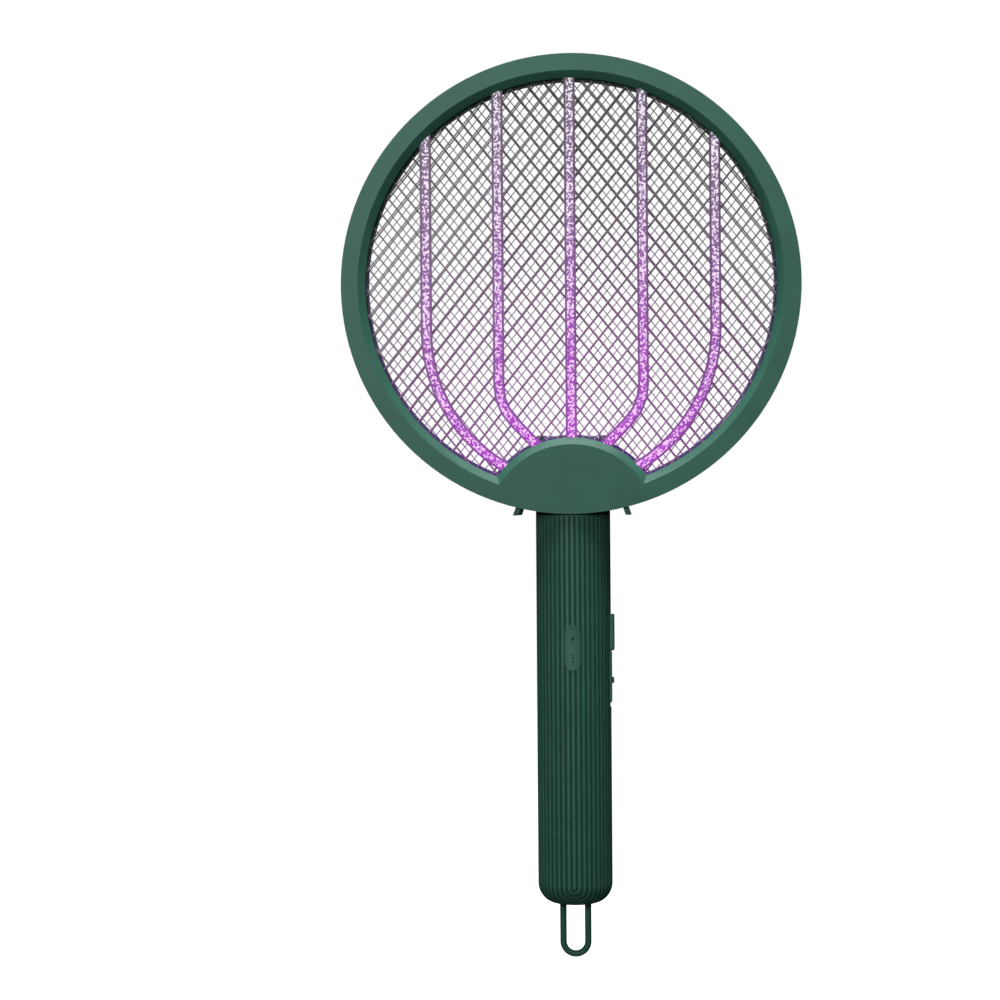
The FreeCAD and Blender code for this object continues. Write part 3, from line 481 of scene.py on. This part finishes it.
green_shell = moulded_plastic("green_shell", colour(46, 93, 77), colour(54, 103, 87), FINE_GRAIN, 0.46)
green_trim = moulded_plastic("green_trim", colour(50, 98, 82), colour(60, 108, 92), 0.2 * MM, 0.38)
black_plastic = moulded_plastic("black_plastic", colour(26, 26, 27), colour(40, 40, 41), 0.3 * MM, 0.45)
white_nylon = moulded_plastic("white_nylon", colour(205, 204, 198), colour(228, 227, 222), 0.3 * MM, 0.5)
guard_wire = lit_wire("guard_wire", (colour(108, 108, 108), colour(138, 138, 138)),
                      colour(138, 44, 142), 0.6, 0.45)
live_wire = lit_wire("live_wire", (colour(120, 112, 120), colour(150, 142, 150)),
                     colour(140, 64, 150), 0.6, 0.35)

FINISHES = {
    "green_shell": green_shell,
    "green_trim": green_trim,
    "dark_window": smoked_lens(),
    "guard_wire": guard_wire,
    "live_wire": live_wire,
    "lit_spacer": lit_plastic(),
    "circuit_board": solder_mask(),
    "lamp": lamp_lens(),
    "black_plastic": black_plastic,
    "capacitor_sleeve": shrink_sleeve("capacitor_sleeve", colour(40, 44, 96), colour(160, 162, 170)),
    "battery_sleeve": shrink_sleeve("battery_sleeve", colour(52, 104, 168), colour(36, 72, 120)),
    "bright_metal": plated_metal("bright_metal", colour(176, 176, 180), colour(214, 214, 216), 0.18),
    "washer": white_nylon,
}


def finish_frame_nodes():
    """Every node takes the finish of its own slot, but for the light guides, which are made anew."""
    for row in frame["record"]["subparts"]:
        finish = FINISHES.get(row["material_slot"])
        if finish:
            for holder in nodes[row["node"]].material_slots:
                holder.material = finish


finish_frame_nodes()


def round_edges(node, width, degrees=40):
    """Live modifiers that merge a node's loose triangles into flat faces and round its sharp edges."""
    weld = nodes[node].modifiers.new("merge", "WELD")
    weld.merge_threshold = 0.001 * MM
    flatten = nodes[node].modifiers.new("flatten", "DECIMATE")
    flatten.decimate_type = "DISSOLVE"
    flatten.angle_limit = math.radians(1)
    bevel = nodes[node].modifiers.new("round", "BEVEL")
    bevel.width = width
    bevel.segments = 3
    bevel.limit_method = "ANGLE"
    bevel.angle_limit = math.radians(degrees)
    bevel.miter_outer = "MITER_ARC"
    bevel.harden_normals = True


for node in ("head_front_frame", "head_rear_frame"):
    round_edges(node, EDGE_ROUND)


# ---------------------------------------------------------------- working on meshes

def clear_selection():
    if bpy.context.object and bpy.context.object.mode != "OBJECT":
        bpy.ops.object.mode_set(mode="OBJECT")
    bpy.ops.object.select_all(action="DESELECT")


def choose(piece):
    """Only this piece is selected and active."""
    clear_selection()
    piece.select_set(True)
    bpy.context.view_layer.objects.active = piece


def select_faces(piece, wanted):
    """In edit mode, selects the faces that the test wants."""
    bpy.ops.mesh.select_all(action="DESELECT")
    mesh = bmesh.from_edit_mesh(piece.data)
    for face in mesh.faces:
        face.select_set(wanted(face))
    bmesh.update_edit_mesh(piece.data)


def merge(piece):
    """Joins the points that lie together, which closes the piece."""
    choose(piece)
    bpy.ops.object.mode_set(mode="EDIT")
    bpy.ops.mesh.select_all(action="SELECT")
    bpy.ops.mesh.remove_doubles(threshold=0.001 * MM)
    bpy.ops.mesh.normals_make_consistent(inside=False)
    bpy.ops.object.mode_set(mode="OBJECT")


def settle(piece):
    """Puts the piece's place into its mesh, so that its object sits at the origin."""
    choose(piece)
    bpy.ops.object.transform_apply(location=True, rotation=True, scale=True)


def smooth(piece, degrees):
    choose(piece)
    bpy.ops.object.shade_smooth_by_angle(angle=math.radians(degrees))


def tubes_along(name, radius, sides, runs, closed=False):
    """Round tubes along runs of points, as one mesh."""
    curve = bpy.data.curves.new(name, "CURVE")
    curve.dimensions = "3D"
    curve.bevel_depth = radius
    curve.bevel_resolution = sides
    curve.use_fill_caps = not closed
    for run in runs:
        line = curve.splines.new("POLY")
        line.use_cyclic_u = closed
        line.points.add(len(run) - 1)
        for point, place in zip(line.points, run):
            point.co = (*place, 1)
    piece = bpy.data.objects.new(name, curve)
    bpy.context.scene.collection.objects.link(piece)
    choose(piece)
    bpy.ops.object.convert(target="MESH")
    return piece


def paint(piece, finish):
    """The finish all over the piece."""
    piece.data.materials.clear()
    piece.data.materials.append(finish)


def deliver(piece, name, body, slot, *replaced):
    """Names the finished piece, sets it on the body it rides on, and hides the frame nodes it takes the
    place of.
    """
    piece.name = name
    piece.data.name = name
    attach(piece, body)
    if replaced:
        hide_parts(*replaced)
    return piece


# ---------------------------------------------------------------- mesh layers

def chord(offset, lean, centre, radius):
    """Where the line x / half_width + lean * z / half_height = offset crosses a circle, or None."""
    half_width, half_height = CELL_WIDTH / 2, CELL_HEIGHT / 2
    along = Vector((half_width, -lean * half_height)).normalized()
    start = Vector((offset * half_width, 0)) - centre
    middle = -start.dot(along)
    reach = radius ** 2 - (start + along * middle).length_squared
    if reach <= 0:
        return None
    return start + centre, along, middle - math.sqrt(reach), middle + math.sqrt(reach)


def rods_of(shift, strand):
    """The straight rods of one layer, as pairs of end points, between the ring's and the hub's seats."""
    origin = Vector((CELL_ACROSS + shift, head_z + CELL_UP))
    ring = Vector((0, head_z)) - origin
    hub = Vector((0, hub_z)) - origin
    ring_seat = OPENING_RADIUS + RING_SEAT
    hub_seat = HUB_RADIUS - HUB_SEAT
    shortest = 2 * strand
    rods = []
    for lean in (1, -1):
        for count in range(-LAST_ROD, LAST_ROD + 1, 2):
            found = chord(count, lean, ring, ring_seat)
            if not found:
                continue
            start, along, low, high = found
            spans = [(low, high)]
            stopped = chord(count, lean, hub, hub_seat)
            if stopped:
                spans = [(low, min(high, stopped[2])), (max(low, stopped[3]), high)]
            for first, last in spans:
                if last - first > shortest:
                    ends = [start + along * reach + origin for reach in (first, last)]
                    rods.append(ends)
    return rods


def mesh_layer(name, slot, finish, shift, strand, box, *replaced):
    """A layer of welded diamond mesh: two families of straight round rods."""
    layer = (box[0].y + box[1].y) / 2
    runs = [[(end.x, layer, end.y) for end in ends] for ends in rods_of(shift, strand)]
    rods = tubes_along(name, strand / 2, 2, runs)
    smooth(rods, degrees=50)
    paint(rods, finish)
    return deliver(rods, name, "head", slot, *replaced)


mesh_layer("front_guard_rods", "guard_wire", guard_wire, 0, GUARD_STRAND,
           guard_box, "front_guard_mesh")
mesh_layer("high_voltage_rods", "live_wire", live_wire, LIVE_SHIFT, LIVE_STRAND,
           wire_box, "high_voltage_mesh")
mesh_layer("rear_guard_rods", "guard_wire", guard_wire, REAR_SHIFT, GUARD_STRAND,
           rear_box, "rear_guard_mesh")


def opening_outline(inset):
    """The points of the opening's edge, drawn in by the inset: round the ring, then over the hub."""
    ring, hub = OPENING_RADIUS - inset, HUB_RADIUS + inset
    apart = head_z - hub_z
    drop = (ring ** 2 - hub ** 2 + apart ** 2) / (2 * apart)
    corner = math.sqrt(ring ** 2 - drop ** 2)
    ring_turn = math.pi - math.atan2(corner, drop)
    hub_turn = math.atan2(corner, apart - drop)
    points = []
    for step in range(LIP_STEPS + 1):
        turn = ring_turn * (2 * step / LIP_STEPS - 1)
        points.append((ring * math.sin(turn), head_z + ring * math.cos(turn)))
    for step in range(1, LIP_HUB_STEPS):
        turn = hub_turn * (1 - 2 * step / LIP_HUB_STEPS)
        points.append((hub * math.sin(turn), hub_z + hub * math.cos(turn)))
    return points


def spacer_lip():
    """The front spacer's inner lip, with the lamps' violet light painted on, which shows as a dark
    violet line round the opening.
    """
    layer = guard_box[1].y + LIP_RADIUS
    outline = [(x, layer, z) for x, z in opening_outline(LIP_RADIUS * LIP_SEAT)]
    lip = tubes_along("front_spacer_lip", LIP_RADIUS, 3, [outline], closed=True)
    smooth(lip, degrees=60)
    paint(lip, FINISHES["lit_spacer"])
    return deliver(lip, "front_spacer_lip", "head", "lit_spacer")


spacer_lip()


# ---------------------------------------------------------------- light guides

def extrude_by(step):
    bpy.ops.mesh.extrude_region_move(TRANSFORM_OT_translate={"value": step})


def cut_off(point, outwards):
    """Cuts away everything beyond the plane, and closes the cut."""
    bpy.ops.mesh.select_all(action="SELECT")
    bpy.ops.mesh.bisect(plane_co=point, plane_no=outwards, clear_outer=True, use_fill=True)


def facet_front(piece):
    """Leaves a rail along each side and turns each step between them into a small pyramid."""
    select_faces(piece, lambda face: face.normal.y < -0.9)
    bpy.ops.mesh.inset(thickness=RIB_RAIL, use_individual=False)
    bpy.ops.mesh.poke(offset=RIB_FACET)
    piece.active_material_index = 1
    bpy.ops.object.material_slot_assign()


def bar_blank(x, top, finishes):
    """The bar's section at its top end, with its two finishes, left in edit mode and selected."""
    low, high = middle_rib
    bpy.ops.mesh.primitive_plane_add(size=1, location=(x, (low.y + high.y) / 2, top))
    bar = bpy.context.object
    bar.dimensions = (RIB_WIDTH, high.y - low.y, 0)
    settle(bar)
    for finish in finishes:
        bar.data.materials.append(finish)
    bpy.ops.object.mode_set(mode="EDIT")
    bpy.ops.mesh.select_all(action="SELECT")
    return bar


def run_down(top, bottom):
    """Draws the bar straight down in even steps."""
    steps = round((top - bottom) / RIB_STEP)
    for _ in range(steps):
        extrude_by((0, 0, (bottom - top) / steps))


def bend_inwards(x, sign, bend):
    """Bends the bar towards the hub, then draws it straight on into it."""
    rise, radius, angle = bend
    turns = max(2, round(radius * angle / RIB_STEP))
    centre = (x - sign * radius, middle_rib[0].y, hub_z + rise)
    bpy.ops.mesh.spin(steps=turns, angle=-angle * sign, axis=(0, 1, 0), center=centre)
    down = Vector((-sign * math.sin(angle), 0, -math.cos(angle)))
    for _ in range(RIB_TAIL_STEPS):
        extrude_by(down * RIB_STEP)


def trim_at_ring(x):
    """Ends the bar a little way inside the ring, square to the ring's radius."""
    middle = Vector((0, middle_rib[0].y, head_z))
    outwards = Vector((x, 0, math.sqrt(OPENING_RADIUS ** 2 - x ** 2))).normalized()
    cut_off(middle + outwards * (OPENING_RADIUS + RIB_ENTRY), outwards)


def trim_at_hub(sign, lean):
    """Ends the bar inside the hub, square to the hub's radius."""
    middle = Vector((0, middle_rib[0].y, hub_z))
    outwards = Vector((sign * math.sin(lean), 0, math.cos(lean)))
    cut_off(middle + outwards * RIB_HUB_END, -outwards)


def light_guide(number, side, bend, finishes):
    """A flat bar that runs down, bends towards the hub and runs straight into it."""
    x = side * RIB_SPACING
    sign = math.copysign(1, side)
    top = head_z + math.sqrt((OPENING_RADIUS + RIB_SPARE) ** 2 - x ** 2)
    bar = bar_blank(x, top, finishes)
    if side:
        run_down(top, hub_z + bend[0])
        bend_inwards(x, sign, bend)
    else:
        run_down(top, hub_z + RIB_HUB_END - RIB_OVERRUN)
    trim_at_ring(x)
    bpy.ops.mesh.select_all(action="SELECT")
    bpy.ops.mesh.normals_make_consistent(inside=False)
    trim_at_hub(sign, math.radians(HUB_LEAN[abs(side)]))
    facet_front(bar)
    bpy.ops.object.mode_set(mode="OBJECT")
    name = f"light_guide_prism_{number}"
    return deliver(bar, name, "head", "light_guide", f"light_guide_rib_{number}")


rib_finishes = (light_guide_rail(), light_guide_face())
for number, side in enumerate((-2, -1, 0, 1, 2), 1):
    bend = OUTER_BEND if abs(side) == 2 else INNER_BEND
    light_guide(number, side, bend, rib_finishes)


# ---------------------------------------------------------------- grip's fluted end

def meridian(down):
    """The grip outline's radius, height and lean, so far down from where its end curves in."""
    quarter = END_ROUND * math.pi / 2
    bend = min(max(down, 0), quarter) / END_ROUND
    radius = grip_radius - END_ROUND + END_ROUND * math.cos(bend) - max(down - quarter, 0)
    height = grip_low + END_ROUND - END_ROUND * math.sin(bend) - min(down, 0)
    return radius, height, bend


def groove_point(turn, down, facing):
    """The cutter's centre over the grip's surface, at that angle from the middle of its half."""
    radius, height, bend = meridian(down)
    stand_off = FLUTE_RADIUS - FLUTE_DEPTH
    reach = radius + stand_off * math.cos(bend)
    across = reach * math.sin(turn)
    forwards = facing * reach * math.cos(turn)
    return Vector((across, forwards, height - stand_off * math.sin(bend)))


def groove_path(offset):
    """One flute's angles and depths: straight down, round a half circle and straight up."""
    yield offset / grip_radius, GROOVE_START
    for step in range(GROOVE_STEPS + 1):
        swing = math.pi * step / GROOVE_STEPS
        down = FLUTE_MIDDLE + offset * math.sin(swing)
        radius = meridian(down)[0]
        if radius > POLE_GAP:
            yield offset * math.cos(swing) / radius, down
    yield -offset / grip_radius, GROOVE_START


def groove_runs(offset, facing):
    """The stretches of one flute's way that lie on its own half of the grip."""
    run = []
    for turn, down in groove_path(offset):
        if abs(turn) <= math.pi / 2:
            run.append(groove_point(turn, down, facing))
        elif run:
            yield run
            run = []
    if run:
        yield run


def groove_cutter(first, facing):
    """Tubes along every flute that goes round one half of the grip's end."""
    runs = []
    offset = first * FLUTE_PITCH
    while offset < math.pi / 2 * grip_radius:
        runs += [run for run in groove_runs(max(offset, GROOVE_LEAST), facing) if len(run) > 2]
        offset += FLUTE_PITCH
    cutter = tubes_along("groove_cutter", FLUTE_RADIUS, 3, runs)
    merge(cutter)
    return cutter


def copy_of(node):
    """A merged copy of a frame node, ready to be worked on."""
    piece = bpy.data.objects.new(node, nodes[node].data.copy())
    bpy.context.scene.collection.objects.link(piece)
    choose(piece)
    bpy.ops.mesh.customdata_custom_splitnormals_clear()
    merge(piece)
    return piece


def cut_with(piece, cutter):
    choose(piece)
    cut = piece.modifiers.new("cut", "BOOLEAN")
    cut.operation = "DIFFERENCE"
    cut.solver = "MANIFOLD"
    cut.object = cutter
    bpy.ops.object.modifier_apply(modifier="cut")
    bpy.data.objects.remove(cutter)


def grip_half(node, name, first, facing):
    """A grip shell whose flutes run on round its end in nested curves."""
    shell = copy_of(node)
    cut_with(shell, groove_cutter(first, facing))
    smooth(shell, degrees=32)
    paint(shell, fluted_plastic(name, first, facing))
    return deliver(shell, name, "handle", "green_shell", node)


grip_half("handle_front_shell", "grip_front_shell", 0.5, -1)
grip_half("handle_rear_shell", "grip_rear_shell", 0, 1)


# ---------------------------------------------------------------- floor and light

FLOOR_RADIUS = 4
FLOOR_Z = -0.32
DIM_FILL = 0.06


def pale_floor():
    """A wide pale floor well under the object, which is held up."""
    bpy.ops.mesh.primitive_circle_add(
        vertices=96, radius=FLOOR_RADIUS, fill_type="NGON", location=(0, 0, FLOOR_Z))
    floor = bpy.context.object
    floor.name = "floor"
    finish = Finish("pale_floor")
    grain = finish.noise(0.1, 2)
    floor.data.materials.append(finish.surface(
        Base_Color=finish.ramp(grain, [(0.3, (0.82, 0.82, 0.82)), (0.7, (0.86, 0.86, 0.86))]),
        Roughness=0.6,
        Emission_Color=opaque((1, 1, 1)),
        Emission_Strength=1.0))
    floor.visible_diffuse = False
    floor.visible_glossy = False
    floor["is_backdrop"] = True


def soft_light(name, place, target, size, power):
    lamp = bpy.data.lights.new(name, "AREA")
    lamp.shape = "RECTANGLE"
    lamp.size, lamp.size_y = size
    lamp.energy = power
    holder = bpy.data.objects.new(name, lamp)
    bpy.context.scene.collection.objects.link(holder)
    holder.location = place
    holder.rotation_euler = (Vector(target) - Vector(place)).to_track_quat("-Z", "Y").to_euler()


def pale_world():
    """White behind the object, and a dim fill on it."""
    world = bpy.data.worlds.new("studio")
    bpy.context.scene.world = world
    world.use_nodes = True
    tree = world.node_tree
    tree.nodes.clear()
    seen = tree.nodes.new("ShaderNodeLightPath")
    shade = tree.nodes.new("ShaderNodeBackground")
    bright = tree.nodes.new("ShaderNodeBackground")
    shade.inputs["Strength"].default_value = DIM_FILL
    bright.inputs["Strength"].default_value = 1.0
    for background in (shade, bright):
        background.inputs["Color"].default_value = (1, 1, 1, 1)
    mixed = tree.nodes.new("ShaderNodeMixShader")
    output = tree.nodes.new("ShaderNodeOutputWorld")
    tree.links.new(seen.outputs["Is Camera Ray"], mixed.inputs["Fac"])
    tree.links.new(shade.outputs[0], mixed.inputs[1])
    tree.links.new(bright.outputs[0], mixed.inputs[2])
    tree.links.new(mixed.outputs[0], output.inputs["Surface"])


pale_floor()
pale_world()
soft_light("overhead", place=(-0.05, -0.08, 1.3), target=(0, 0, 0.1), size=(1.2, 0.8), power=46)
soft_light("key", place=(-0.35, -1.7, 0.55), target=(0, 0, 0.1), size=(0.45, 0.6), power=13)

[[list(corner) for corner in box] for box in (cad_box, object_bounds())]
